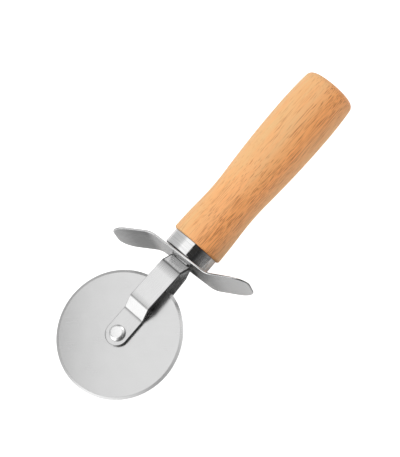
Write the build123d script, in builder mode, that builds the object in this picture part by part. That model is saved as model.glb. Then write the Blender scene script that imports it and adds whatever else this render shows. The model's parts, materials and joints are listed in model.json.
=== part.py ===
import math
import os

from build123d import *

os.makedirs("parts", exist_ok=True)

# Wheel: a thin disc ground from both faces to a cutting edge
wheel_diameter = 65.0
wheel_thickness = 1.3
bevel_width = 1.4
edge_thickness = 0.12

# Axle: a two-part rivet, whose tube the wheel turns on
pin_diameter = 3.4
tube_wall = 0.8
head_diameter = 8.1
head_height = 1.9
head_chamfer = 0.7
pin_clearance = 0.02
running_clearance = 0.06
rivet_clearance = 0.05
closing_gap = 0.15

# Spacers: washers that keep the wheel off the arms
spacer_diameter = 9.4
spacer_thickness = 0.7
side_clearance = 0.05

# Fork arms: two joggled strips that come together into a flat tang
sheet = 1.2
arm_width = 11.86
end_offset = 0.6
joggle_start = 12.2
joggle_run = 6.2
joggle_rise = 4.85
arm_length = 22.85
arm_lean = 1.1
arm_bend_radius = 1.2
tang_width = 8.0
tang_depth = 36.0

# Guard: a strip bent to an S, one wing towards the wheel and one towards the hand
guard_distance = 47.76
guard_sheet = 1.0
guard_width = 26.8
guard_lean = 5.0
guard_reach = 36.0
wheel_side_flat = 15.2
hand_side_flat = 17.35
wing_angle = 30.6
wing_bend_radius = 18.0
wing_corner_radius = 9.6
slot_clearance = 0.3

# Ferrule: a drawn cup round the foot of the handle
ferrule_diameter = 25.3
ferrule_wall = 0.9
ferrule_length = 8.1
ferrule_lip_chamfer = 0.85
ferrule_mouth_margin = 1.0
ferrule_clearance = 0.05
seat_clearance = 0.05
spigot_gap = 0.3

# Handle: turned wood with a waist, a full belly and a rounded butt
handle_length = 102.5
collar_step = 1.3
collar_chamfer = 0.9
shoulder_distance = 16.5
waist_diameter = 25.9
waist_distance = 27.5
flank_distance = 38.0
belly_diameter = 29.9
belly_distance = 80.0
butt_diameter = 27.6
butt_edge_radius = 3.2
tang_clearance = 0.1
bore_end_gap = 1.0

# Distances from the wheel's middle plane, through the stack on the axle
wheel_radius = wheel_diameter / 2
spacer_face = wheel_thickness / 2 + side_clearance
arm_inner = spacer_face + spacer_thickness
arm_outer = arm_inner + sheet
pin_radius = pin_diameter / 2
tube_radius = pin_radius + pin_clearance + tube_wall

# Distances from the axle, along the handle's axis
lean = math.radians(guard_lean)
guard_half = guard_sheet / 2 / math.cos(lean)
arm_shoulder = guard_distance - guard_half - sheet * math.tan(lean)
lip_radius = ferrule_diameter / 2 - ferrule_lip_chamfer
guard_face = guard_distance + guard_half
ferrule_start = guard_face + lip_radius * math.tan(lean) + seat_clearance
collar_start = ferrule_start + ferrule_length
tang_end = collar_start + tang_depth
butt_end = collar_start + handle_length

# Shared planes: the part lies on its belly, with its length centred on the origin
axle_x = (wheel_radius - butt_end) / 2
axis_z = belly_diameter / 2
level = Plane((axle_x, 0, axis_z))
upright = Plane((axle_x, 0, axis_z), x_dir=(1, 0, 0), z_dir=(0, -1, 0))

with BuildPart() as wheel:
    with BuildSketch(upright):
        with BuildLine():
            Polyline(
                (tube_radius + running_clearance, wheel_thickness / 2),
                (wheel_radius - bevel_width, wheel_thickness / 2),
                (wheel_radius, edge_thickness / 2),
                (wheel_radius, -edge_thickness / 2),
                (wheel_radius - bevel_width, -wheel_thickness / 2),
                (tube_radius + running_clearance, -wheel_thickness / 2),
                close=True,
            )
        make_face()
    revolve(axis=Axis((axle_x, 0, axis_z), (0, 0, 1)))
wheel.part.label = "wheel"
export_step(wheel.part, "parts/wheel.step")

with BuildPart() as spacer_front:
    with BuildSketch(level.offset(spacer_face)):
        Circle(spacer_diameter / 2)
        Circle(tube_radius + rivet_clearance, mode=Mode.SUBTRACT)
    extrude(amount=spacer_thickness)
spacer_front.part.label = "spacer_front"
export_step(spacer_front.part, "parts/spacer_front.step")

with BuildPart() as spacer_back:
    mirror(spacer_front.part, about=level)
spacer_back.part.label = "spacer_back"
export_step(spacer_back.part, "parts/spacer_back.step")

# The front arm follows its bent middle line from the eye to the end of the tang
joggle_end = joggle_start + joggle_run
bend_out = arm_inner + sheet / 2 + joggle_rise
neck = arm_shoulder - arm_bend_radius / 2
with BuildPart() as arm_front:
    with BuildSketch(upright):
        with BuildLine():
            FilletPolyline(
                (-end_offset - arm_width / 2, arm_inner + sheet / 2),
                (joggle_start, arm_inner + sheet / 2),
                (joggle_end, bend_out),
                (joggle_end + arm_length, bend_out - arm_lean),
                (neck, sheet / 2),
                (tang_end, sheet / 2),
                radius=arm_bend_radius,
            )
        trace(line_width=sheet)
    extrude(amount=arm_width / 2, both=True)
    with BuildSketch(level):
        with Locations((-end_offset, 0)):
            Circle(arm_width / 2)
            Rectangle(arm_shoulder + end_offset, arm_width, align=(Align.MIN, Align.CENTER))
        with Locations((arm_shoulder, 0)):
            Rectangle(tang_end - arm_shoulder, tang_width, align=(Align.MIN, Align.CENTER))
    extrude(amount=bend_out + sheet, both=True, mode=Mode.INTERSECT)
    with Locations(level):
        Hole(tube_radius + rivet_clearance)
arm_front.part.label = "arm_front"
export_step(arm_front.part, "parts/arm_front.step")

with BuildPart() as arm_back:
    mirror(arm_front.part, about=level)
arm_back.part.label = "arm_back"
export_step(arm_back.part, "parts/arm_back.step")

# The solid half of the rivet: a polished head on the front arm, with a pin down the tube
with BuildPart() as rivet_pin:
    with BuildSketch(level.offset(arm_outer)):
        Circle(head_diameter / 2)
    extrude(amount=head_height)
    chamfer(rivet_pin.edges().sort_by(Axis.Z)[-1], head_chamfer)
    with BuildSketch(level.offset(arm_outer)):
        Circle(pin_radius)
    extrude(amount=closing_gap - 2 * arm_outer)
rivet_pin.part.label = "rivet_pin"
export_step(rivet_pin.part, "parts/rivet_pin.step")

# The hollow half: the same head on the back arm, with the tube that carries the wheel
with BuildPart() as rivet_tube:
    with BuildSketch(level.offset(-arm_outer)):
        Circle(head_diameter / 2)
    extrude(amount=-head_height)
    chamfer(rivet_tube.edges().sort_by(Axis.Z)[0], head_chamfer)
    with BuildSketch(level.offset(-arm_outer)):
        Circle(tube_radius)
        Circle(pin_radius + pin_clearance, mode=Mode.SUBTRACT)
    extrude(amount=2 * arm_outer - closing_gap)
rivet_tube.part.label = "rivet_tube"
export_step(rivet_tube.part, "parts/rivet_tube.step")

# The guard leans a little on the tang, and its middle line runs from wing tip to wing tip
wing = math.radians(wing_angle)
wheel_side_drop = (guard_reach - wheel_side_flat) * math.tan(wing)
hand_side_rise = (guard_reach - hand_side_flat) * math.tan(wing)
leaning = Plane((axle_x + guard_distance, 0, axis_z)).rotated((0, guard_lean, 0))
with BuildPart() as guard:
    with BuildSketch(leaning):
        with BuildLine():
            FilletPolyline(
                (-wheel_side_drop, guard_reach),
                (0, wheel_side_flat),
                (0, -hand_side_flat),
                (hand_side_rise, -guard_reach),
                radius=wing_bend_radius,
            )
        trace(line_width=guard_sheet)
    extrude(amount=guard_width / 2, both=True)
    wing_tips = guard.faces().sort_by(Axis.Y)
    tip_edges = wing_tips[0].edges() + wing_tips[-1].edges()
    fillet(tip_edges.sort_by(SortBy.LENGTH)[0:4], wing_corner_radius)
    with BuildSketch(leaning.rotated((0, 90, 0))):
        Rectangle(2 * sheet + 2 * slot_clearance, tang_width + 2 * slot_clearance)
    extrude(amount=guard_sheet, both=True, mode=Mode.SUBTRACT)
guard.part.label = "guard"
export_step(guard.part, "parts/guard.step")

# The ferrule is a cup with a round mouth for the tang, open towards the handle
tang_corner = math.hypot(tang_width / 2, sheet)
bore_radius = tang_corner + tang_clearance
with BuildPart() as ferrule:
    with BuildSketch(upright):
        with BuildLine():
            Polyline(
                (ferrule_start, bore_radius + ferrule_mouth_margin),
                (ferrule_start, ferrule_diameter / 2),
                (collar_start, ferrule_diameter / 2),
                (collar_start, ferrule_diameter / 2 - ferrule_wall),
                (ferrule_start + ferrule_wall, ferrule_diameter / 2 - ferrule_wall),
                (ferrule_start + ferrule_wall, bore_radius + ferrule_mouth_margin),
                close=True,
            )
        make_face()
    revolve(axis=Axis((axle_x, 0, axis_z), (1, 0, 0)))
    chamfer(ferrule.faces().sort_by(Axis.X)[0].edges().sort_by(SortBy.LENGTH)[-1], ferrule_lip_chamfer)
ferrule.part.label = "ferrule"
export_step(ferrule.part, "parts/ferrule.step")

# The handle is turned about its own axis, with a spigot inside the ferrule and a bore for the tang.
# Its outline is a chain of tangent arcs: shoulder, waist, flank, body and tail.
spigot_radius = ferrule_diameter / 2 - ferrule_wall - ferrule_clearance
spigot_start = ferrule_start + ferrule_wall + spigot_gap
collar_point = (collar_start, ferrule_diameter / 2 + collar_step)
waist_point = (collar_start + waist_distance, waist_diameter / 2)
belly_point = (collar_start + belly_distance, belly_diameter / 2)
butt_point = (butt_end, butt_diameter / 2)
shoulder_share = shoulder_distance / waist_distance
flank_share = (flank_distance - waist_distance) / (belly_distance - waist_distance)
with BuildPart() as handle:
    with BuildSketch(upright) as outline:
        with BuildLine():
            fall = Line(collar_point, waist_point, mode=Mode.PRIVATE)
            rise = Line(waist_point, belly_point, mode=Mode.PRIVATE)
            shoulder = TangentArc(collar_point, fall @ shoulder_share, tangent=(1, 0))
            TangentArc(shoulder @ 1, waist_point, tangent=shoulder % 1)
            flank = TangentArc(waist_point, rise @ flank_share, tangent=(1, 0))
            TangentArc(flank @ 1, belly_point, tangent=flank % 1)
            TangentArc(belly_point, butt_point, tangent=(1, 0))
            Polyline(
                butt_point,
                (butt_end, 0),
                (tang_end + bore_end_gap, 0),
                (tang_end + bore_end_gap, bore_radius),
                (spigot_start, bore_radius),
                (spigot_start, spigot_radius),
                (collar_start, spigot_radius),
                collar_point,
            )
        make_face()
        fillet(outline.vertices().group_by(Axis.X)[-1].sort_by(Axis.Y)[-1], butt_edge_radius)
        chamfer(outline.vertices().group_by(Axis.X)[1].sort_by(Axis.Y)[-1], collar_chamfer)
    revolve(axis=Axis((axle_x, 0, axis_z), (1, 0, 0)))
handle.part.label = "handle"
export_step(handle.part, "parts/handle.step")
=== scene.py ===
# %% [markdown]
# # A pizza wheel, dressed for its picture
#
# The tool is a steel wheel that turns on a rivet between two bent arms. The arms meet in a flat tang,
# which goes through a bent finger guard and a bright ferrule into a turned wooden handle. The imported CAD
# model is the frame: it says where every piece is. Each piece is drawn again here as a fine smooth
# surface, because a CAD mesh is loose flat triangles, and polished steel shows every facet. A finish
# worked out by shader nodes then goes on each piece.

# %% Load the frame
import json
import math

import bmesh
import bpy
import numpy as np
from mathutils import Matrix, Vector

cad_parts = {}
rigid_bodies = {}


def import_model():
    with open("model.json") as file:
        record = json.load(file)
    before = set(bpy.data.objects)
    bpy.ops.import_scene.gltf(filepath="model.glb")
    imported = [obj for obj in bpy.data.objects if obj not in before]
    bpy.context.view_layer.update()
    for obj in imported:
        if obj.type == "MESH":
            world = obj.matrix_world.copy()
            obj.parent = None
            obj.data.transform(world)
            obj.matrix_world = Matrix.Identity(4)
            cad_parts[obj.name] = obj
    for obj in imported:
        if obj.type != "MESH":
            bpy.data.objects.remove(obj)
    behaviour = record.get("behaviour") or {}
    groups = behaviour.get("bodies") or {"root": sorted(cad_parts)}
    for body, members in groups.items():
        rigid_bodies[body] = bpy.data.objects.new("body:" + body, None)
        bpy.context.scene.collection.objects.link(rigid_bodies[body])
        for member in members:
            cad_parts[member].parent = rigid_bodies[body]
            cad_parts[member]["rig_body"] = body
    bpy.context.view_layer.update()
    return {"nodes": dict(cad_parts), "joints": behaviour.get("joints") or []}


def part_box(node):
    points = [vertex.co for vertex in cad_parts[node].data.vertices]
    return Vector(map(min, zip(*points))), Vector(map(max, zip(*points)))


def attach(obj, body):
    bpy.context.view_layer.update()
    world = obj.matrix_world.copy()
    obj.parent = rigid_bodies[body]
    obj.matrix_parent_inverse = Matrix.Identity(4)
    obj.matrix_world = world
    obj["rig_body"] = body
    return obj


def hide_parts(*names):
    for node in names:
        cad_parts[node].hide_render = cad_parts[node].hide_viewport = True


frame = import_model()
scene = bpy.context.scene
mm = 0.001
axle = np.array(frame["joints"][0]["pos_m"])
print("axle at", axle.round(5), "pieces to dress:", sorted(frame["nodes"]))

# %% [markdown]
# ## Outlines with round corners
#
# Turned and bent metal has no perfectly sharp corner. An outline is given by its few corner points, and
# each corner is swapped for an arc of a stated radius. A Bevel modifier could round the edges later, but
# an arc in the outline keeps the grid of faces regular, and the same helper then draws the middle line of
# a bent strip.


# %% Round the corners of an outline
def rounded(corners, radii, steps=8):
    """Joins corner points by straight runs, with an arc in place of each inner corner that has a radius.

    An arc that turns by an angle starts radius * tan(angle / 2) before its corner. Its points are the
    centre + cos(t) * the first spoke + sin(t) * radius * the way it sets off.
    """
    corners = np.asarray(corners, float)
    runs = [corners[:1]]
    for before, corner, after, radius in zip(corners, corners[1:], corners[2:], radii):
        if radius == 0:
            runs.append(corner[None])
            continue
        back = (before - corner) / np.linalg.norm(before - corner)
        on = (after - corner) / np.linalg.norm(after - corner)
        turn = math.pi - math.acos(np.clip(back @ on, -1, 1))
        middle = (back + on) / np.linalg.norm(back + on)
        centre = corner + middle * radius / math.cos(turn / 2)
        spoke = corner + back * radius * math.tan(turn / 2) - centre
        t = np.linspace(0, turn, steps + 1)[:, None]
        runs.append(centre + np.cos(t) * spoke - np.sin(t) * back * radius)
    runs.append(corners[-1:])
    return np.concatenate(runs)


print("a right angle becomes an arc of", len(rounded([(0, 0), (1, 0), (1, 1)], [0.2])) - 2, "points")

# %% [markdown]
# ## From a grid of points to a piece
#
# Every surface here is a grid: rows run one way, columns the other, and each cell is one four-sided face.
# Where the grid closes on itself, or its corners fall on one point, the doubles are merged, so that the
# piece is one closed skin. A Weighted Normal modifier then lets the large flat faces set the shading, and
# the small round edges take up the turn.


# %% Number the faces of a grid
def grid_faces(rows, columns, first, ring):
    """The four corners of each cell of a grid whose points are numbered row by row from first."""
    across = columns if ring else columns - 1
    row, column = np.meshgrid(np.arange(rows - 1), np.arange(across), indexing="ij")
    here = first + row * columns + column
    beside = first + row * columns + (column + 1) % columns
    return np.stack([here, beside, beside + columns, here + columns], axis=-1).reshape(-1, 4)


print("a grid of 3 by 4 points has", len(grid_faces(3, 4, 0, False)), "faces")

# %% Close the skin of a mesh
merge_distance = 0.001 * mm


def close_skin(mesh):
    """Merges the points that fall together, drops what has no area, and turns all faces outwards."""
    work = bmesh.new()
    work.from_mesh(mesh)
    bmesh.ops.remove_doubles(work, verts=work.verts, dist=merge_distance)
    bmesh.ops.dissolve_degenerate(work, edges=work.edges, dist=merge_distance / 2)
    bmesh.ops.recalc_face_normals(work, faces=work.faces)
    work.to_mesh(mesh)
    work.free()


def to_corners(mesh, name):
    """Moves a vector from the points of a mesh to the corners of its faces, where a later cut keeps it."""
    values = np.empty(3 * len(mesh.vertices))
    mesh.attributes[name].data.foreach_get("vector", values)
    corner_points = np.empty(len(mesh.loops), int)
    mesh.loops.foreach_get("vertex_index", corner_points)
    mesh.attributes.remove(mesh.attributes[name])
    corners = values.reshape(-1, 3)[corner_points]
    mesh.attributes.new(name, "FLOAT_VECTOR", "CORNER").data.foreach_set("vector", corners.ravel())


def in_the_scene(name, data):
    """A new object in the scene, from a mesh, a lamp or a camera."""
    thing = bpy.data.objects.new(name, data)
    scene.collection.objects.link(thing)
    return thing


def make_piece(name, node, grids, rings, blanks=None):
    """One closed piece from several grids, in metres in the frame, which takes the place of a CAD node.

    Where blanks are given, each point also keeps its place on the flat blank, for the finish to read.
    """
    counts = np.cumsum([0] + [grid.shape[0] * grid.shape[1] for grid in grids])
    points = np.concatenate([grid.reshape(-1, 3) for grid in grids])
    faces = [grid_faces(*grid.shape[:2], first, ring) for grid, first, ring in zip(grids, counts, rings)]
    mesh = bpy.data.meshes.new(name)
    mesh.from_pydata(points.tolist(), [], np.concatenate(faces).tolist())
    if blanks:
        flat = np.concatenate([grid.reshape(-1, 3) for grid in blanks])
        mesh.attributes.new("blank", "FLOAT_VECTOR", "POINT").data.foreach_set("vector", flat.ravel())
    close_skin(mesh)
    if blanks:
        to_corners(mesh, "blank")
    piece = in_the_scene(name, mesh)
    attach(piece, frame["nodes"][node]["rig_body"])
    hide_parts(node)
    return piece


def smooth(piece, sharp_degrees=40):
    """Shades a piece smoothly, and keeps as a crease each edge that turns by more than the stated angle."""
    piece.data.shade_smooth()
    piece.data.set_sharp_from_angle(angle=math.radians(sharp_degrees))
    even = piece.modifiers.new("Even flats", "WEIGHTED_NORMAL")
    even.keep_sharp = True
    print(piece.name, len(piece.data.polygons), "faces")


# %% [markdown]
# ## Turned pieces
#
# The wheel, the washers, the rivet, the ferrule and the handle are all round, so each is a profile
# carried round a straight axis: a point at a distance along the axis and a radius from it, swept through
# a full turn. Blender's Spin tool or Screw modifier would do the same, but worked out here the seam
# closes exactly.


# %% Turn a profile round an axis
def swept(profile, along, turns):
    """Carries a profile round an axis through the axle.

    A profile point (a, r) becomes axle + a * along + r * (cos(t) * side + sin(t) * other), where t goes
    through a full turn.
    """
    along = np.asarray(along, float)
    side = np.array([0.0, 1.0, 0.0])
    other = np.cross(along, side)
    t = np.linspace(0, 2 * math.pi, turns, endpoint=False)[None, :, None]
    a, r = np.asarray(profile, float).T[:, :, None, None]
    return axle + a * along + r * (np.cos(t) * side + np.sin(t) * other)


def turned(name, node, profile, along, turns=128, shift=0):
    """A round piece from its closed profile. A shift, one vector for each profile point, moves its rings."""
    piece = make_piece(name, node, [swept(profile, along, turns) + shift], [True])
    smooth(piece)
    return piece


up = (0, 0, 1)
outwards = (1, 0, 0)

# %% [markdown]
# ## The cutting wheel
#
# The wheel is a disc of thin steel, ground from both faces to a narrow bevel that ends in the cutting
# edge. Its bore runs on the tube of the rivet. The face and the bevel meet in a faint ridge, which the
# arc at that corner keeps crisp.


# %% Turn the wheel
def box_of(node):
    """The lowest and the highest corner of a CAD node, measured from the axle."""
    return [np.array(corner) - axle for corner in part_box(node)]


wheel_high = box_of("wheel")[1]
wheel_radius = wheel_high[0]
wheel_half = wheel_high[2]
wheel_bore = 2.58 * mm
bevel_width = 1.4 * mm
edge_half = 0.06 * mm
bore_round = 0.1 * mm
ridge_round = 0.2 * mm
edge_round = 0.03 * mm
bevel_start = wheel_radius - bevel_width
wheel_profile = rounded(
    [
        (0, wheel_bore),
        (wheel_half, wheel_bore),
        (wheel_half, bevel_start),
        (edge_half, wheel_radius),
        (-edge_half, wheel_radius),
        (-wheel_half, bevel_start),
        (-wheel_half, wheel_bore),
        (0, wheel_bore),
    ],
    [bore_round, ridge_round, edge_round, edge_round, ridge_round, bore_round],
)
wheel = turned("cutting_wheel", "wheel", wheel_profile, up, turns=256)

# %% [markdown]
# ## Washers and rivet
#
# A washer on each side keeps the wheel off the arms. The rivet comes in two halves: a pin with a polished
# head, and a tube with the same head that the pin is pressed into. The heads are almost flat on top, with
# a coned rim. The press has set the pin's flat a little to one side, so its cone is wide towards the
# camera and narrow on the far side.

# %% Turn the washers
rivet_hole = 2.57 * mm
washer_round = 0.12 * mm
washers = []
for side in ("front", "back"):
    low, high = box_of("spacer_" + side)
    ring = [
        (low[2], rivet_hole),
        (low[2], high[0]),
        (high[2], high[0]),
        (high[2], rivet_hole),
        (low[2], rivet_hole),
    ]
    ring = rounded(ring, [washer_round] * 3)
    washers.append(turned("washer_" + side, "spacer_" + side, ring, up, turns=96))

# %% Turn the two halves of the rivet
head_height = 1.9 * mm
head_flat = 2.9 * mm
head_drop = 0.9 * mm
head_round = 1.4 * mm
head_corner = 0.35 * mm
head_crown = 0.05 * mm
under_head = 0.15 * mm
askew = np.array([-0.1, 0.5, 0]) * mm
pin_radius = 1.7 * mm
tube_bore = 1.72 * mm
tube_radius = 2.52 * mm


def rivet_head(top, base, radius):
    """Half the outline of a head: a low crown, a cone, a wall and the underside.

    The crown falls with the square of the distance from the axis.
    """
    flat = np.linspace(0, head_flat, 6)
    crown = np.column_stack([top - np.sign(top) * head_crown * (flat / flat[-1]) ** 2, flat])
    foot = (top - np.sign(top) * head_drop, radius)
    corners = [crown[-2], crown[-1], foot, (base, radius), (base, pin_radius)]
    return np.concatenate([crown[:-2], rounded(corners, [head_round, head_corner, under_head])[:-1]])


pin_low, pin_high = box_of("rivet_pin")
pin_head = rivet_head(pin_high[2], pin_high[2] - head_height, pin_high[0])
pin_shank = [(pin_high[2] - head_height, pin_radius), (pin_low[2], pin_radius), (pin_low[2], 0)]
pin_profile = np.concatenate([pin_head, pin_shank])
# The shift grows from nothing at the foot of the cone to all of it at the flat
share = np.clip((pin_profile[:, 0] - pin_high[2]) / head_drop + 1, 0, 1)
rivet_pin = turned("rivet_pin_polished", "rivet_pin", pin_profile, up, shift=share[:, None, None] * askew)

tube_low, tube_high = box_of("rivet_tube")
tube_base = tube_low[2] + head_height
tube_head = rivet_head(tube_low[2], tube_base, tube_high[0])
tube_shank = [
    (tube_base, tube_radius),
    (tube_high[2], tube_radius),
    (tube_high[2], tube_bore),
    (tube_base, tube_bore),
    (tube_base, 0),
]
rivet_tube = turned("rivet_tube_polished", "rivet_tube", np.concatenate([tube_head, tube_shank]), up)

# %% [markdown]
# ## Ferrule
#
# The ferrule is a drawn cup of bright steel that closes the foot of the handle. Its bottom has a round
# mouth for the tang, and the bend between bottom and wall is a soft lip.

# %% Turn the ferrule
ferrule_low, ferrule_high = box_of("ferrule")
ferrule_radius = ferrule_high[1]
ferrule_start = ferrule_low[0]
collar_start = ferrule_high[0]
ferrule_wall = 0.9 * mm
ferrule_mouth = 5.28 * mm
lip_round = 0.85 * mm
rim_round = 0.2 * mm
ferrule_profile = rounded(
    [
        (ferrule_start + ferrule_wall / 2, ferrule_mouth),
        (ferrule_start, ferrule_mouth),
        (ferrule_start, ferrule_radius),
        (collar_start, ferrule_radius),
        (collar_start, ferrule_radius - ferrule_wall),
        (ferrule_start + ferrule_wall, ferrule_radius - ferrule_wall),
        (ferrule_start + ferrule_wall, ferrule_mouth),
        (ferrule_start + ferrule_wall / 2, ferrule_mouth),
    ],
    [rim_round, lip_round] + [rim_round] * 4,
)
ferrule = turned("ferrule_bright", "ferrule", ferrule_profile, outwards, turns=192)

# %% [markdown]
# ## Handle
#
# The handle is turned from one billet of pale hardwood. Its outline is a chain of arcs: the collar rounds
# over into a waist for the first finger, the body swells to a belly that fills the palm, and a short tail
# falls to the butt. Each arc is level at one end, at the collar, waist or belly, so that one formula
# gives them all.


# %% Work out the handle's outline
def level_arc(x, level, through):
    """Radius at x on a circle that is level at one point and goes through another.

    The circle's size is (dx * dx + dr * dr) / (2 * dr). At a distance d from the level point it has left
    the level by size - sqrt(size * size - d * d).
    """
    dx, dr = through[0] - level[0], through[1] - level[1]
    size = (dx * dx + dr * dr) / (2 * abs(dr))
    return level[1] + np.sign(dr) * (size - np.sqrt(size * size - (x - level[0]) ** 2))


handle_low, handle_high = box_of("handle")
butt_end = handle_high[0]
collar_step = 1.3 * mm
shoulder_distance = 16.5 * mm
waist_distance = 27.5 * mm
waist_radius = 12.95 * mm
flank_distance = 38 * mm
belly_distance = 80 * mm
butt_radius = 13.8 * mm
collar = np.array([collar_start, ferrule_radius + collar_step])
waist = np.array([collar_start + waist_distance, waist_radius])
belly = np.array([collar_start + belly_distance, handle_high[1]])
butt = np.array([butt_end, butt_radius])
shoulder = collar + (waist - collar) * shoulder_distance / waist_distance
flank_share = (flank_distance - waist_distance) / (belly_distance - waist_distance)
flank = waist + (belly - waist) * flank_share
arcs = [(collar, shoulder), (waist, shoulder), (waist, flank), (belly, flank), (belly, butt)]
ends = [shoulder[0], waist[0], flank[0], belly[0], butt[0]]

collar_room = 1.3 * mm
tail_room = 4.5 * mm
x = np.linspace(collar_start + collar_room, butt_end - tail_room, 140)
r = np.select([x <= end for end in ends], [level_arc(x, *arc) for arc in arcs])
skin = np.column_stack([x, r])
print("handle from", x[0].round(5), "to", butt_end.round(5))
print("waist", r.min().round(5), "belly", r.max().round(5))

# %% [markdown]
# The two ends of the billet are cut in the same profile: a spigot that fills the ferrule, a small round
# on the collar, a larger round on the butt, and the bore that takes the tang.

# %% Turn the handle
spigot_start = handle_low[0]
spigot_gap = 0.05 * mm
spigot_radius = ferrule_radius - ferrule_wall - spigot_gap
spigot_round = 0.3 * mm
tang_bore = 4.28 * mm
tang_gap = 1.0 * mm
bore_end = box_of("arm_front")[1][0] + tang_gap
collar_round = 1.25 * mm
butt_round = 3.2 * mm
foot = rounded(
    [
        (bore_end, 0),
        (bore_end, tang_bore),
        (spigot_start, tang_bore),
        (spigot_start, spigot_radius),
        (collar_start, spigot_radius),
        collar,
        skin[0],
    ],
    [rim_round, spigot_round, spigot_round, 0, collar_round],
)
end = rounded([skin[-1], butt, (butt_end, 0)], [butt_round], steps=14)
butt_rings = np.linspace(end[-2], end[-1], 10)[1:]
handle_profile = np.concatenate([foot[:-1], skin, end[1:-1], butt_rings])
handle = turned("handle_turned", "handle", handle_profile, outwards, turns=192)

# %% [markdown]
# ## Sheet metal: a flat blank, then a bend
#
# The arms and the guard are made as in the shop: a blank is cut from sheet, its edges are tumbled round,
# and then it is bent. The blank is a grid too. At each station along it the section is a loop: across the
# top, round one edge, back along the underside and round the other. Bending moves each point to its
# station on the bent middle line, and keeps its distance from that line, so the sheet stays equally thick
# through every bend.


# %% Cut a blank
def joined(*coordinates):
    """Points from their coordinates, each stretched to the same grid."""
    return np.stack(np.broadcast_arrays(*coordinates), axis=-1)


def blank(stations, half_width, slant, thickness, edge_radius, columns=9):
    """The loops of a flat strip, as points (station, across, height), and a cap for each blunt end.

    slant is the angle from the strip's length to the way the cut edge faces: 180 degrees at the first tip,
    90 on the sides and 0 at the last tip. An edge point leaves the inner outline by its reach that way. The
    second list holds the place of each point on the blank: station, across, and distance from the cut edge.
    That is the lesser of the way to the side times sin(slant) and the way to either tip, and negative
    underneath.
    """
    corner = np.linspace(math.pi / 2, 0, 5)
    reach = edge_radius * np.cos(corner)
    rise = thickness / 2 - edge_radius + edge_radius * np.sin(corner)
    reach, rise = np.append(reach, reach[::-1]), np.append(rise, -rise[::-1])
    inner = stations - edge_radius * np.cos(slant)
    side = half_width - edge_radius * np.sin(slant)
    across = np.linspace(-1, 1, columns)
    face = joined(inner[:, None], side[:, None] * across, thickness / 2)
    out, sideways = (way(slant)[:, None] * reach for way in (np.cos, np.sin))
    edge = joined(inner[:, None] + out, side[:, None] + sideways, rise)[:, 1:-1]
    turned_over = np.array([1, -1, -1])
    loops = np.concatenate([face, edge, face * turned_over, edge * turned_over], axis=1)
    caps = [
        joined(inner[i] + math.cos(slant[i]) * reach, side[i] * across[:, None], rise)
        for i in (0, -1)
        if side[i] > edge_radius
    ]
    grids = [loops] + caps
    to_side = (half_width[:, None] - abs(loops[..., 1])) * np.sin(slant)[:, None]
    to_tip = np.minimum(loops[..., 0] - stations[0], stations[-1] - loops[..., 0])
    inside = np.minimum(to_side, to_tip).clip(0) * np.sign(loops[..., 2])
    from_edge = [inside] + [np.zeros(cap.shape[:2]) for cap in caps]
    return grids, [np.dstack([grid[..., :2], way]) for grid, way in zip(grids, from_edge)]


# %% Bend a blank
def stations_on(line):
    """The way along a line to each of its points: the lengths of its runs, added up."""
    return np.append(0, np.cumsum(np.linalg.norm(np.diff(line, axis=0), axis=1)))


def bent(points, line):
    """Carries points (station, across, height) to a bent middle line: out along it, then off by the height.

    Returns (along, across, off), where along and off are the two coordinates of the line's own plane. The
    way off the line is its heading turned a quarter left.
    """
    steps = np.diff(line, axis=0)
    station = stations_on(line)
    heading = np.unwrap(np.arctan2(steps[:, 1], steps[:, 0]))
    heading = np.interp(station, (station[1:] + station[:-1]) / 2, heading)
    s, across, height = np.moveaxis(points, -1, 0)
    over = s - np.clip(s, 0, station[-1])
    turn = np.interp(s, station, heading)
    along = np.interp(s, station, line[:, 0]) + over * np.cos(turn) - height * np.sin(turn)
    off = np.interp(s, station, line[:, 1]) + over * np.sin(turn) + height * np.cos(turn)
    return np.stack([along, across, off], axis=-1)


# %% Cut a hole
def cut(piece, grid):
    """Cuts a closed form, given as one grid, out of a piece."""
    form = bpy.data.meshes.new("cutter")
    form.from_pydata(grid.reshape(-1, 3).tolist(), [], grid_faces(*grid.shape[:2], 0, True).tolist())
    close_skin(form)
    cutter = in_the_scene("cutter", form)
    hole = piece.modifiers.new("Hole", "BOOLEAN")
    hole.object = cutter
    hole.solver = "EXACT"
    finished = bpy.data.meshes.new_from_object(piece.evaluated_get(bpy.context.evaluated_depsgraph_get()))
    piece.modifiers.clear()
    piece.data = finished
    bpy.data.objects.remove(cutter)


# %% [markdown]
# ## Fork arms
#
# Each arm lies flat on the washer, steps out past the wheel's rim in a joggle, leans back towards the
# middle and folds in to the guard, where the two arms meet face to face as the tang. The blank has one
# round end, the eye, and a shoulder where it narrows to the tang. The back arm is the front arm with its
# height turned over, and with a little more lean: such forks are squeezed together by hand, and the
# photograph shows it.

# %% Lay out the arms
sheet = 1.2 * mm
arm_edge = 0.22 * mm
arm_shift = 0.17 * mm
arm_low, arm_high = box_of("arm_front")
arm_half = arm_high[1] + arm_shift
tang_half = 4.0 * mm - arm_shift
shoulder_x = 46.65 * mm
shoulder_run = 0.25 * mm
bend_places = np.array([12.2, 18.6, 41.25, 46.553]) * mm
arm_bend = 1.2 * mm
eye_height = 2.0 * mm
joggle_height = 6.85 * mm
fold_heights = {"front": 5.75 * mm, "back": 4.4 * mm}
eye_turn = np.linspace(math.pi, math.pi / 2, 24)
eye_stations = arm_half + arm_half * np.cos(eye_turn)
tang_round = 0.6 * mm
tang_turn = np.linspace(math.pi / 2, 0, 7)


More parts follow.
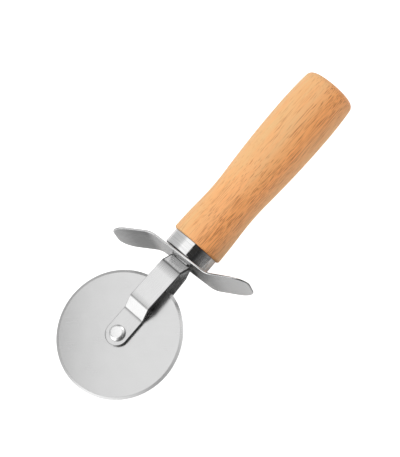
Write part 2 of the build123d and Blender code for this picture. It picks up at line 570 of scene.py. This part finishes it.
def lay_out_arm(fold_height):
    """Bends an arm's blank, with its third bend at a height.

    Returns the middle line, the way along it to each of its points, the bent grids and their places on the
    blank.
    """
    line = rounded(
        [
            (arm_low[0], eye_height),
            (bend_places[0], eye_height),
            (bend_places[1], joggle_height),
            (bend_places[2], fold_height),
            (bend_places[3], sheet / 2),
            (arm_high[0], sheet / 2),
        ],
        [arm_bend] * 4,
        steps=12,
    )
    ways = stations_on(line)
    shoulder = np.interp(shoulder_x, line[:, 0], ways)
    straight = ways[(ways > arm_half) & (ways < shoulder - shoulder_run)]
    tang_stations = ways[-1] - tang_round + tang_round * np.cos(tang_turn)
    tang_width = tang_half - tang_round + tang_round * np.sin(tang_turn)
    stations = np.concatenate([eye_stations, straight, [shoulder - shoulder_run, shoulder], tang_stations])
    arm_width = np.append(arm_half * np.sin(eye_turn), np.full(len(straight) + 1, arm_half))
    half_width = np.concatenate([arm_width, [tang_half], tang_width])
    slant = np.concatenate([eye_turn, np.full(len(straight) + 2, math.pi / 2), tang_turn])
    flat, places = blank(stations, half_width, slant, sheet, arm_edge)
    print("arm blank", stations[-1].round(5), "long, shoulder at", shoulder.round(5))
    return line, ways, [bent(grid, line) for grid in flat], places


# %% Make both arms and drill their eyes
drill_reach = 4 * mm
drill_end = [(drill_reach, rivet_hole), (drill_reach, 0)]
drill = swept([(-drill_reach, 0), (-drill_reach, rivet_hole)] + drill_end, up, turns=64)
arms = {}
for side, turn_over in (("back", -1), ("front", 1)):
    arm_line, arm_station, arm_grids, arm_places = lay_out_arm(fold_heights[side])
    middle = axle + np.array([0, arm_shift, 0])
    placed = [middle + grid * np.array([1, 1, turn_over]) for grid in arm_grids]
    rings = [True] + [False] * (len(placed) - 1)
    arms[side] = make_piece("arm_" + side + "_bent", "arm_" + side, placed, rings, arm_places)
    cut(arms[side], drill)
    smooth(arms[side])

# %% [markdown]
# ## Finger guard
#
# The guard is a wide strip, bent to an S: one wing goes towards the wheel and keeps the finger off the
# edge, the other sweeps back towards the hand. It stands across the tang and leans a little, as it does
# in the photograph. The wing tips have large round corners.

# %% Lay out the guard
guard_lean = math.radians(5)
guard_distance = 47.53 * mm
guard_middle = axle + np.array([guard_distance, 0, 0])
guard_sheet = 1.0 * mm
guard_edge = 0.42 * mm
guard_half = 13.4 * mm
tip_round = 8.9 * mm
flat_turn = math.radians(2.7)
wing_bend = 12.4 * mm
wheel_angle = math.radians(31.9)
wheel_reach = 35.45 * mm
wheel_flat = 17.4 * mm
hand_angle = math.radians(29.8)
hand_reach = 36.15 * mm
hand_flat = 18.1 * mm
wheel_shift = wheel_flat * math.tan(flat_turn)
hand_shift = hand_flat * math.tan(flat_turn)
guard_line = rounded(
    [
        (-wheel_shift - (wheel_reach - wheel_flat) * math.tan(wheel_angle), wheel_reach),
        (-wheel_shift, wheel_flat),
        (hand_shift, -hand_flat),
        (hand_shift + (hand_reach - hand_flat) * math.tan(hand_angle), -hand_reach),
    ],
    [wing_bend] * 2,
    steps=18,
)
guard_station = stations_on(guard_line)
tip_turn = np.linspace(math.pi, math.pi / 2, 20)
tip_stations = tip_round + tip_round * np.cos(tip_turn)
tip_width = guard_half - tip_round + tip_round * np.sin(tip_turn)
between = guard_station[(guard_station > tip_round) & (guard_station < guard_station[-1] - tip_round)]
stations = np.concatenate([tip_stations, between, guard_station[-1] - tip_stations[::-1]])
half_width = np.concatenate([tip_width, np.full(len(between), guard_half), tip_width[::-1]])
slant = np.concatenate([tip_turn, np.full(len(between), math.pi / 2), math.pi - tip_turn[::-1]])
print("guard blank", guard_station[-1].round(5), "long")

# %% Bend the guard, lean it and cut its slot
lean_x = np.array([math.cos(guard_lean), 0, -math.sin(guard_lean)])
lean_y = np.array([0, 1, 0])
lean_z = np.array([math.sin(guard_lean), 0, math.cos(guard_lean)])


def leaning(points):
    """Sets points on the leaning plane: the first way is its x, the second its upright, the third its y."""
    return guard_middle + points @ np.array([lean_x, lean_z, lean_y])


guard_flat, guard_blanks = blank(stations, half_width, slant, guard_sheet, guard_edge)
guard_grids = [leaning(bent(grid, guard_line)) for grid in guard_flat]
guard = make_piece("guard_bent", "guard", guard_grids, [True, False, False], guard_blanks)
slot_along, slot_across, slot_off = 2 * guard_sheet, 1.5 * mm, 4.3 * mm
slot_corners = [(1, 1), (1, -1), (-1, -1), (-1, 1)]
slot = np.array(
    [
        [(a, share * across * slot_across, share * off * slot_off) for across, off in slot_corners]
        for a, share in ((-slot_along, 0), (-slot_along, 1), (slot_along, 1), (slot_along, 0))
    ]
)
cut(guard, leaning(slot))
smooth(guard)

# %% [markdown]
# ## Tools for finishes
#
# A finish is a small tree of shader nodes that ends in the Principled shader. Adding a node takes several
# lines each time, so helpers do it: one starts a finish, one sets inputs by name, and one adds a node
# with its inputs. A last one puts the finish on its pieces.


# %% Add nodes by name
def new_finish(name):
    """An empty finish: its material, its node tree and its Principled shader."""
    material = bpy.data.materials.new(name)
    material.use_nodes = True
    return material, material.node_tree, material.node_tree.nodes["Principled BSDF"]


def connect(tree, node, inputs):
    """Sets the inputs of a node: a socket is linked to it, and anything else is its fixed value."""
    for name, value in inputs.items():
        if isinstance(value, bpy.types.NodeSocket):
            tree.links.new(value, node.inputs[name])
        else:
            node.inputs[name].default_value = value


def add(tree, kind, inputs, **options):
    """Adds a shader node with its options, and sets or links its inputs. Returns its first output in use."""
    node = tree.nodes.new("ShaderNode" + kind)
    for option, value in options.items():
        setattr(node, option, value)
    connect(tree, node, inputs)
    return next(socket for socket in node.outputs if socket.enabled)


def dress(material, *pieces):
    """Puts one finish on some pieces."""
    for piece in pieces:
        piece.data.materials.clear()
        piece.data.materials.append(material)
    print(material.name, len(material.node_tree.nodes), "nodes, on", [piece.name for piece in pieces])


# %% [markdown]
# ## Patterns in real sizes
#
# A pattern needs to know where on the piece it is. Round pieces use Object coordinates, which stick to
# the piece and turn with it. Bent sheet uses the place on its flat blank, so that brush lines follow
# every bend, as they do when the sheet is brushed first and bent afterwards. A Mapping node of the
# Texture type then takes real sizes: its location is the middle of the pattern, its rotation the way the
# grain runs, and its scale the size of one grain.


# %% Places on a piece
def on_the_piece(tree):
    """Where a point is in the frame, in metres."""
    return tree.nodes.new("ShaderNodeTexCoord").outputs["Object"]


def on_the_blank(tree):
    """Where a point was on the flat blank: station, across and distance from the cut edge, in metres."""
    return add(tree, "Attribute", {}, attribute_name="blank").node.outputs["Vector"]


def scaled(tree, places, grain, turn=(0, 0, 0), middle=axle):
    """Places counted in grains of a length, width and depth, from a middle, along turned axes."""
    inputs = {"Vector": places, "Location": middle, "Rotation": turn, "Scale": grain}
    return add(tree, "Mapping", inputs, vector_type="TEXTURE")


def one_way(tree, places, axis):
    """One coordinate of a place."""
    return add(tree, "SeparateXYZ", {0: places}).node.outputs[axis]


def distance_from(tree, places, grain, turn=(0, 0, 0), middle=axle):
    """Distance from the middle, in grains. A huge size leaves its way out, which gives it from a line."""
    return add(tree, "VectorMath", {0: scaled(tree, places, grain, turn, middle)}, operation="LENGTH")


# %% Patterns and sums
huge = 1e6


def noise(tree, places, grain, turn=(0, 0, 0), detail=3):
    """Random clouds, each about as long, wide and deep as one grain."""
    inputs = {"Vector": scaled(tree, places, grain, turn), "Scale": 1, "Detail": detail, "Roughness": 0.6}
    return add(tree, "TexNoise", inputs)


def spread(tree, value, low, high, start=0.3, stop=0.7):
    """Maps a pattern's usual range to the range that a setting should have."""
    inputs = {"Value": value, "From Min": start, "From Max": stop, "To Min": low, "To Max": high}
    return add(tree, "MapRange", inputs)


def total(tree, first, second, operation="ADD"):
    """Two patterns put together, by adding them unless another sum is named."""
    return add(tree, "Math", {0: first, 1: second}, operation=operation)


def mixed(tree, share, first, second):
    """A colour that goes from the first to the second as the share goes from 0 to 1."""
    return add(tree, "Mix", {"Factor": share, "A": first, "B": second}, data_type="RGBA")


def grey(value):
    """A neutral colour of one brightness."""
    return (value, value, value, 1)


def by_steps(tree, value, stops):
    """A level by steps: between two stops it goes evenly from one level to the next."""
    low, high = stops[0][0], stops[-1][0]
    node = tree.nodes.new("ShaderNodeValToRGB")
    tree.links.new(spread(tree, value, 0, 1, low, high), node.inputs[0])
    ramp = node.color_ramp.elements
    for at, level in stops[1:-1]:
        ramp.new((at - low) / (high - low)).color = grey(level)
    ramp[0].color = grey(stops[0][1])
    ramp[-1].color = grey(stops[-1][1])
    return node.outputs["Color"]


# %% Patterns on a blank
def along_the_blank(tree, stops):
    """A level by steps along the blank, with the stops in millimetres."""
    return by_steps(tree, one_way(tree, on_the_blank(tree), "X"), [(at * mm, level) for at, level in stops])


def from_the_cut(tree):
    """How far a point is from the cut edge of its blank, on either face."""
    return add(tree, "Math", {0: one_way(tree, on_the_blank(tree), "Z")}, operation="ABSOLUTE")


def blended(tree, share, first, second):
    """A level that goes from the first to the second as the share goes from 0 to 1."""
    return add(tree, "Mix", {"Factor": share, "A": first, "B": second}, data_type="FLOAT")


# %% [markdown]
# ## Brushed and polished steel
#
# Sheet steel leaves the mill with fine straight brush lines. Two noises stretched along the brush give
# them: hairs, and streaks four times as large. A third, even noise is the cloudiness of handled metal.
# The lines move the roughness and a very shallow bump, so that they show in the highlights and not as
# painted stripes. On top come two masks that each piece may have: dark places, which are the ground ring
# on the wheel and painted shade on the other pieces, and bright places, which are the honed edge on the
# wheel and a painted highlight on the guard.


# %% Mix a steel
streak_size = 4
cloud_size = 9 * mm
cloud_blur = 0.03
# Painted shade, and the wheel's ground ring, take the colour towards a tenth of the tint and roughen it
finish_and_shade_tint, finish_and_shade_blur = 0.1, 0.12
# A painted highlight on the guard, and the wheel's honed edge, lift the colour by half and gloss it
polish_and_highlight_tint, polish_and_highlight_gloss = 1.5, 0.08
hair_depth = 0.02 * mm
line_range = (0.7, 1.3)


def steel(name, tint, roughness, places, brush, turn=0, swing=0.05, relief=0.15, dull=None, bright=None):
    """Steel with brush lines of a length, width and depth, which run along the x axis, turned about z."""
    material, tree, metal = new_finish(name)
    turn = (0, 0, turn)
    hair = noise(tree, places(tree), brush, turn)
    streak = noise(tree, places(tree), [streak_size * size for size in brush], turn)
    lines = spread(tree, total(tree, hair, streak), 0, 1, *line_range)
    cloud = noise(tree, on_the_piece(tree), [cloud_size] * 3)
    shade = mixed(tree, lines, grey(tint * (1 - swing)), grey(tint * (1 + swing)))
    blur = spread(tree, lines, roughness - swing, roughness + swing, 0, 1)
    blur = total(tree, blur, spread(tree, cloud, -cloud_blur, cloud_blur))
    # The first mask: painted shade on most pieces, the ground ring on the wheel
    if dull:
        marks = dull(tree)
        shade = mixed(tree, marks, shade, grey(tint * finish_and_shade_tint))
        blur = total(tree, blur, spread(tree, marks, 0, finish_and_shade_blur, 0, 1))
    # The second mask: a painted highlight on the guard, the honed edge on the wheel
    if bright:
        lightened = bright(tree)
        shade = mixed(tree, lightened, shade, grey(min(1, tint * polish_and_highlight_tint)))
        blur = total(tree, blur, spread(tree, lightened, 0, polish_and_highlight_gloss, 0, 1), "SUBTRACT")
    bump = add(tree, "Bump", {"Height": hair, "Strength": relief, "Distance": hair_depth})
    connect(tree, metal, {"Base Color": shade, "Roughness": blur, "Normal": bump, "Metallic": 1.0})
    return material


# %% [markdown]
# ## Finish of the arms and the guard
#
# Both are brushed along their length. Along the line of each bend of an arm, the outer skin of the steel
# gets painted shade. The inside of the fork gets painted shade, darkest beside the wheel, with painted
# highlights at the bends, and the walls get painted shade as well. The guard gets broad fields of painted
# shade on its wings, which stop short of its edges, and more painted shade on its lower half beside the
# neck. A painted highlight lies on its edges beside the ferrule. A painted map could hold all this, but
# the blank's coordinates put each mark in its place.

# %% Mark the bends of the arms
# The loop above ends with the front arm, and its bends serve for both
bends = np.interp(bend_places, arm_line[:, 0], arm_station) / mm
# Painted shade along each bend of the arms: its reach before and after, in millimetres, and its depth
reach_before = (1.4, 0.5, 5, 0.6)
reach_after = (0.7, 3, 0.9, 6)
depths = (0.65, 0.36, 0.85, 0.5)
bend_shade_stops = [(0, 0)]
for bend, before, after, depth in zip(bends, reach_before, reach_after, depths):
    steps = ((-before, 0), (-0.45, 0.6), (0, 1), (0.45, 0.6), (after, 0))
    bend_shade_stops += [(bend + step, level * depth) for step, level in steps]
bend_shade_stops.append((arm_station[-1] / mm, 0))
fold_stops = [(bends[2] - 0.3, 0), (bends[2] + 0.3, 1), (bends[3], 1), (bends[3] + 0.5, 0)]
print("bends at", bends.round(2), "mm along the blank")

# %% Finish the arms
# Painted shade inside the fork and on the walls, with painted highlights at the inner bends
skin_border = (0.08 * mm, 0.25 * mm)
wall_border = (0.05 * mm, 0.15 * mm)
wall_widening = 0.5 * mm
past_the_wheel = (28 * mm, 36 * mm)
inside_shade_levels = (0.85, 0.33)
bend_highlight_marks = (0.3, 0.6)
past_the_tip = (1 * mm, 3 * mm)
wall_shade_levels = (0.45, 1)


def painted_arm_shade_and_highlights(tree):
    """Painted shade along the bends outside, painted shade inside with painted highlights at the bends, and
    walls of painted shade that widen along the fold.

    The painted shade inside is darkest beside the wheel, and that on the walls is palest at the eye's tip.
    """
    station = one_way(tree, on_the_blank(tree), "X")
    marks = along_the_blank(tree, bend_shade_stops)
    inside = spread(tree, one_way(tree, on_the_blank(tree), "Z"), 1, 0, *skin_border)
    inside_shade = spread(tree, station, *inside_shade_levels, *past_the_wheel)
    inside_shade_and_highlights = total(tree, inside_shade, spread(tree, marks, 1, 0, *bend_highlight_marks), "MULTIPLY")
    skin = blended(tree, inside, marks, inside_shade_and_highlights)
    widened = spread(tree, along_the_blank(tree, fold_stops), 0, wall_widening, 0, 1)
    widened = total(tree, widened, spread(tree, inside, 1, 0, 0, 1), "MULTIPLY")
    wall = spread(tree, total(tree, from_the_cut(tree), widened, "SUBTRACT"), 1, 0, *wall_border)
    wall_shade = spread(tree, station, *wall_shade_levels, *past_the_tip)
    return blended(tree, wall, skin, wall_shade)


arm_brush = (10 * mm, 0.1 * mm, 1)
dress(steel("arm steel", 0.75, 0.24, on_the_blank, arm_brush, dull=painted_arm_shade_and_highlights), *arms.values())

# %% Finish the guard
# Painted shade on the guard's faces, by the station along the blank in millimetres
wing_shade_stops = [
    (0, 0.38), (10.5, 0.64), (18.6, 0.62), (23.3, 0.22), (29.4, 0.1), (34, 0.03), (43, 0.03),
    (47, 0.36), (57.8, 0.39), (64.3, 0.08), (77.2, 0),
]
# More painted shade on the lower half beside the neck
neck_stops = [(40, 0), (44, 0.95), (45, 0.95), (46, 0.75), (47.5, 0.65), (49.5, 0.27), (52.5, 0)]
# A painted highlight on the edges beside the ferrule
edge_highlight_stops = [(33, 0), (42, 0.4), (55, 0.4), (62, 0)]
edge_border = (0.2 * mm, 0.6 * mm)
lower_border = (-2 * mm, 2 * mm)
# The edges keep only this share of the painted shade
edge_shade_level = 0.04


def painted_guard_shade(tree):
    """Fields of painted shade by the station along the blank, mostly kept off its edges by the way from the
    cut.

    Beside the neck the lower half gets more painted shade.
    """
    edge = spread(tree, from_the_cut(tree), 1, 0, *edge_border)
    fields = blended(tree, edge, along_the_blank(tree, wing_shade_stops), edge_shade_level)
    lower = spread(tree, one_way(tree, on_the_blank(tree), "Y"), 1, 0, *lower_border)
    neck = total(tree, along_the_blank(tree, neck_stops), lower, "MULTIPLY")
    return total(tree, fields, neck, "MAXIMUM")


def painted_edge_highlight(tree):
    """A painted highlight on a stretch of the edges beside the ferrule."""
    edge = spread(tree, from_the_cut(tree), 1, 0, *edge_border)
    return total(tree, along_the_blank(tree, edge_highlight_stops), edge, "MULTIPLY")


guard_brush = (10 * mm, 0.12 * mm, 1)
guard_steel = steel("guard steel", 0.67, 0.22, on_the_blank, guard_brush, dull=painted_guard_shade, bright=painted_edge_highlight)
dress(guard_steel, guard)

# %% [markdown]
# ## Finish of the wheel
#
# The faces of the wheel are brushed in one direction. The bevel was ground afterwards, so it is a duller
# ring, with a fine line where the grinding stone ended and a bright edge. The distance from the axle
# tells them apart.

# %% Finish the wheel
brush_way = math.radians(-47)
flat_on_the_axle = (1, 1, huge)


def ground(tree):
    """The ground ring, with the line where it starts."""
    stops = [
        (0, 0),
        (bevel_start - 0.2 * mm, 0),
        (bevel_start, 0.2),
        (bevel_start + 0.3 * mm, 0.04),
        (wheel_radius, 0.04),
    ]
    return by_steps(tree, distance_from(tree, on_the_piece(tree), flat_on_the_axle), stops)


def honed(tree):
    """The last quarter of a millimetre at the cutting edge."""
    radius = distance_from(tree, on_the_piece(tree), flat_on_the_axle)
    return spread(tree, radius, 0, 1, wheel_radius - 0.25 * mm, wheel_radius - 0.05 * mm)


wheel_brush = (14 * mm, 0.12 * mm, 1 * mm)
wheel_grain = (on_the_piece, wheel_brush, brush_way)
wheel_marks = {"dull": ground, "bright": honed}
wheel_steel = steel("wheel steel", 0.73, 0.24, *wheel_grain, swing=0.02, relief=0.015, **wheel_marks)
dress(wheel_steel, wheel)

# %% [markdown]
# ## Finish of the ferrule, rivet and washers
#
# The ferrule was polished on a lathe, so its lines run round it, and each fine ring has its own gloss.
# That is what frays the border between the light and the dark that it mirrors. Both its rims get painted
# shade. The rivet is polished, with a faint mottle and painted shade round the wall of its head, and the
# washers are plain blanks.

# %% Finish the small metal
ring_brush = (0.3 * mm, 9 * mm, 9 * mm)


def painted_rim_shade(tree):
    """Painted shade on the ferrule's two rims, by the place along the handle."""
    start, end = axle[0] + ferrule_start, axle[0] + collar_start
    stops = [(start, 0.85), (start + 0.4 * mm, 0.85), (start + 0.8 * mm, 0), (end - 0.5 * mm, 0), (end, 0.8)]
    return by_steps(tree, one_way(tree, on_the_piece(tree), "X"), stops)


ring_grain = (on_the_piece, ring_brush)
# The ferrule's rims get painted shade
ferrule_steel = steel("ferrule steel", 0.87, 0.13, *ring_grain, swing=0.1, relief=0.05, dull=painted_rim_shade)
dress(ferrule_steel, ferrule)


def painted_head_shade(tree):
    """Painted shade on the wall of either head, by the height from the wheel's middle plane."""
    height = distance_from(tree, on_the_piece(tree), (huge, huge, 1))
    wall_top = pin_high[2] - head_drop
    return spread(tree, height, 0.75, 0, wall_top - 0.15 * mm, wall_top + 0.1 * mm)


mottle = [1.2 * mm] * 3
# The wall of each head gets painted shade
rivet_steel = steel("rivet steel", 0.94, 0.24, on_the_piece, mottle, relief=0.1, dull=painted_head_shade)
dress(rivet_steel, rivet_pin, rivet_tube)
washer_brush = (2 * mm, 0.2 * mm, 1 * mm)
dress(steel("washer steel", 0.5, 0.35, on_the_piece, washer_brush), *washers)

# %% [markdown]
# ## Wood
#
# The handle is turned from a pale hardwood. Solid wood is nested rings round a pith, which here lies
# outside the handle, so its ring colour is a function of the distance from that line, with some warp.
# Because it is a solid pattern, the rings open into arches by themselves where the shape swells. Short
# dark dashes are cut vessels, longer ones are mineral streaks, and both gather in the redder part of a
# ring. On the end of the butt the same vessels show as dots.

# %% Grow the wood
wood, tree, surface = new_finish("turned wood")
here = on_the_piece(tree)
lean_of_grain = (0, math.radians(0.3), math.radians(-0.4))
pith = axle + np.array([0, -34 * mm, -26 * mm])
ring_width = 16 * mm
first_ring = 27.4 * mm
ring_warp = 0.25
crowding = 0.05
warp_size = (60 * mm, 8 * mm, 8 * mm)
figure_size = (30 * mm, 2.2 * mm, 2.2 * mm)
fibre_size = (9 * mm, 0.2 * mm, 0.2 * mm)
vessel_size = (9 * mm, 0.34 * mm, 0.34 * mm)
mineral_size = (50 * mm, 0.4 * mm, 0.4 * mm)
warp = noise(tree, here, warp_size, lean_of_grain)
ring = distance_from(tree, here, (huge, ring_width, ring_width), lean_of_grain, pith)
ring = total(tree, total(tree, ring, -first_ring / ring_width), spread(tree, warp, -ring_warp, ring_warp))
late = spread(tree, total(tree, ring, 1.0, "PINGPONG"), 0, 1, 0.2, 0.95)
figure = noise(tree, here, figure_size, lean_of_grain)
fibre = noise(tree, here, fibre_size, lean_of_grain)
vessel = noise(tree, here, vessel_size, lean_of_grain, detail=1)
streak = noise(tree, here, mineral_size, lean_of_grain, detail=1)
crowd = spread(tree, late, -crowding, crowding, 0, 1)
vessels = spread(tree, total(tree, vessel, crowd), 0, 0.8, 0.58, 0.68)
streaks = spread(tree, total(tree, streak, crowd), 0, 0.6, 0.61, 0.7)
print("wood: rings", ring_width, "wide round a pith at", pith.round(4))

# %% Colour the wood
pale_wood = (0.765, 0.47, 0.216, 1)
red_wood = (0.96, 0.415, 0.148, 1)
figure_brown = (0.87, 0.37, 0.131, 1)
fibre_brown = (0.79, 0.345, 0.118, 1)
vessel_brown = (0.46, 0.17, 0.055, 1)
mineral_brown = (0.46, 0.175, 0.06, 1)
pore_depth = 0.03 * mm
colour = mixed(tree, late, pale_wood, red_wood)
colour = mixed(tree, spread(tree, figure, 0, 0.45, 0.4, 0.7), colour, figure_brown)
colour = mixed(tree, spread(tree, fibre, 0, 0.3, 0.4, 0.75), colour, fibre_brown)
colour = mixed(tree, vessels, colour, vessel_brown)
colour = mixed(tree, streaks, colour, mineral_brown)
height = total(tree, spread(tree, fibre, 0, 0.3), vessels, "SUBTRACT")
bump = add(tree, "Bump", {"Height": height, "Strength": 0.2, "Distance": pore_depth})
connect(tree, surface, {"Base Color": colour, "Roughness": spread(tree, fibre, 0.42, 0.56), "Normal": bump})
dress(wood, handle)

# %% [markdown]
# ## Floor
#
# The tool lies on a plain white floor, which glows, so that it stays white in the picture and keeps only
# a faint shadow. Steel shows what lies round it more than it shows light, so reflections see a greyer
# floor of their own. On the hand's side that floor is only a strip, and the dark beyond it is what the
# ferrule mirrors near its outline. One floor with a Light Path node would do the same, but two plain ones
# are easier to follow.

# %% Lay the floor
scene.view_settings.view_transform = "Standard"


def oblong(low, high, turn=0):
    """The corners of an oblong from a low to a high point, in millimetres from the axle, turned about it."""
    (x0, y0), (x1, y1) = low, high
    corners = np.array([(x0, y0), (x1, y0), (x1, y1), (x0, y1)]) * mm
    along = np.array([math.cos(turn), math.sin(turn)])
    beside = np.array([-along[1], along[0]])
    return axle[:2] + corners @ np.array([along, beside])


def lay_floor(name, height, oblongs, colour, glow):
    """Oblongs of paint at a height, which give off as much light of their own as the glow says."""
    points = [(x, y, height) for corners in oblongs for x, y in corners]
    mesh = bpy.data.meshes.new(name)
    mesh.from_pydata(points, [], np.arange(len(points)).reshape(-1, 4).tolist())
    floor = in_the_scene(name, mesh)
    paint, tree, surface = new_finish(name + " paint")
    connect(tree, surface, {"Base Color": grey(colour), "Roughness": 0.9})
    connect(tree, surface, {"Emission Color": grey(1.0), "Emission Strength": glow})
    dress(paint, floor)
    return floor


def only_in_reflections(thing):
    """Hides a floor or a card from all but the reflections of the tool."""
    thing.visible_camera = False
    thing.visible_diffuse = False
    thing.visible_shadow = False


far = 3000
strip_start = 47
floor = lay_floor("floor", 0, [oblong((-far, -far), (far, far))], colour=0.3, glow=1.1)
floor.visible_glossy = False
wheel_side = oblong((-far, -far), (strip_start, far))
hand_side = oblong((strip_start, -38), (far, 60))
just_above = 0.02 * mm
only_in_reflections(lay_floor("mirrored_floor", just_above, [wheel_side, hand_side], colour=0.72, glow=0))

# %% [markdown]
# ## Light
#
# The studio is a soft tent. Its brightness is the product of two patterns: one goes round the handle's
# axis, from the bright panel overhead to the black gap that makes the dark stripe on the ferrule, and one
# goes along it, with a bright end beyond the wheel, which the step in the arm mirrors. A large soft lamp
# on the wheel's side adds some direction.

# %% Hang the tent
world = bpy.data.worlds.new("studio")
scene.world = world
world.use_nodes = True
tree = world.node_tree
direction = tree.nodes.new("ShaderNodeTexCoord").outputs["Generated"]
degree = math.pi / 180
round_the_handle = total(tree, one_way(tree, direction, "Y"), one_way(tree, direction, "Z"), "ARCTAN2")
round_stops = [
    (-180, 0.45), (-110, 0.26), (-64, 0.08), (-54, 0.03), (-34, 0.03), (-20, 1.22), (24, 1.25),
    (30, 1.1), (37, 0.86), (46, 0.75), (62, 0.69), (90, 0.66), (120, 0.72), (180, 0.45),
]
across = by_steps(tree, round_the_handle, [(at * degree, level) for at, level in round_stops])
along_stops = [
    (-1.0, 1.9), (-0.85, 1.8), (-0.78, 1.2), (-0.72, 0.9), (-0.62, 0.93), (-0.5, 0.8), (-0.3, 0.84),
    (-0.18, 0.74), (-0.05, 0.79), (0.05, 0.85), (0.15, 0.9), (0.3, 0.79), (0.42, 0.74), (0.56, 0.93),
    (0.62, 0.72), (0.67, 0.38), (0.71, 0.5), (0.78, 1.3), (0.86, 1.1), (1.0, 0.85),
]
along = by_steps(tree, one_way(tree, direction, "X"), along_stops)
tent = add(tree, "Mix", {"Factor": 1.0, "A": across, "B": along}, data_type="RGBA", blend_type="MULTIPLY")
tree.links.new(tent, tree.nodes["Background"].inputs["Color"])
print("tent with", len(round_stops), "steps round the handle and", len(along_stops), "along it")

# %% [markdown]
# ## Cards
#
# Photographers of metal hang cards where only the metal sees them. A small black one, low over the guard,
# darkens the ferrule and the guard beside the handle. A grey one, high up beyond the wheel and turned,
# gives the flat wheel its slow change from grey to white: a flat mirror shows one patch of the tent, so
# the change has to hang in that patch.


# %% Hang two cards that only reflections see
def hang_card(name, height, corners, glow):
    """A level card at a height above the axle, as dark as its own glow leaves it."""
    only_in_reflections(lay_floor(name, axle[2] + height, [corners], colour=0, glow=glow))


hang_card("black_card", 26 * mm, oblong((49, -22), (64, -7.6)), glow=0.02)
grey_turn = math.radians(131)
hang_card("grey_card", 200 * mm, oblong((101, -115), (220, 80), grey_turn), glow=0.42)


# %% Place the lamp
def set_up(name, data, place, towards, right):
    """Adds a lamp or a camera at a place, looking the other way than towards, with its right side given."""
    matrix = np.eye(4)
    matrix[:3, :3] = np.column_stack([right, np.cross(towards, right), towards])
    matrix[:3, 3] = place
    thing = in_the_scene(name, data)
    thing.matrix_world = matrix.T.tolist()
    return thing


lamp = bpy.data.lights.new("key", "AREA")
lamp.shape = "DISK"
lamp.size = 0.7
lamp.energy = 6.2
lamp_distance = 1.2
lamp_way = np.array([-0.25, 0.1, 0.9])
lamp_way /= np.linalg.norm(lamp_way)
lamp_right = np.cross([0, 1, 0], lamp_way)
lamp_right /= np.linalg.norm(lamp_right)
key = set_up("key", lamp, lamp_way * lamp_distance, lamp_way, lamp_right)
key.visible_glossy = False
print("lamp", round(lamp.size, 2), "across at", (lamp_way * lamp_distance).round(3))

# %% [markdown]
# ## Camera
#
# The camera looks down on the tool from the wheel's right, about 22 degrees off the upright. Its place
# was fitted once: the rim of the wheel is a circle of known size, and the handle's two sides are known
# too, so the ellipse and the two lines in the photograph leave only one place for the camera. The picture
# is 400 by 457 pixels.

# %% Set up the camera
tilt_across = 0.37930
tilt_along = -0.05313
roll = 0.85684
lens_pixels = 1398.6
photo_height = 457
look_at = axle + np.array([65.03 * mm, 4.23 * mm, 0])
camera_distance = 687.97 * mm
towards = np.array(
    [
        math.sin(tilt_along),
        -math.sin(tilt_across) * math.cos(tilt_along),
        math.cos(tilt_across) * math.cos(tilt_along),
    ]
)
handle_way = np.array([1, 0, 0]) - towards * towards[0]
handle_way /= np.linalg.norm(handle_way)
right = math.cos(roll) * handle_way - math.sin(roll) * np.cross(towards, handle_way)
view = bpy.data.cameras.new("camera")
view.lens = lens_pixels / photo_height * view.sensor_width
scene.camera = set_up("camera", view, look_at + towards * camera_distance, towards, right)
print("camera", round(camera_distance, 5), "from the middle, lens", round(view.lens, 2))
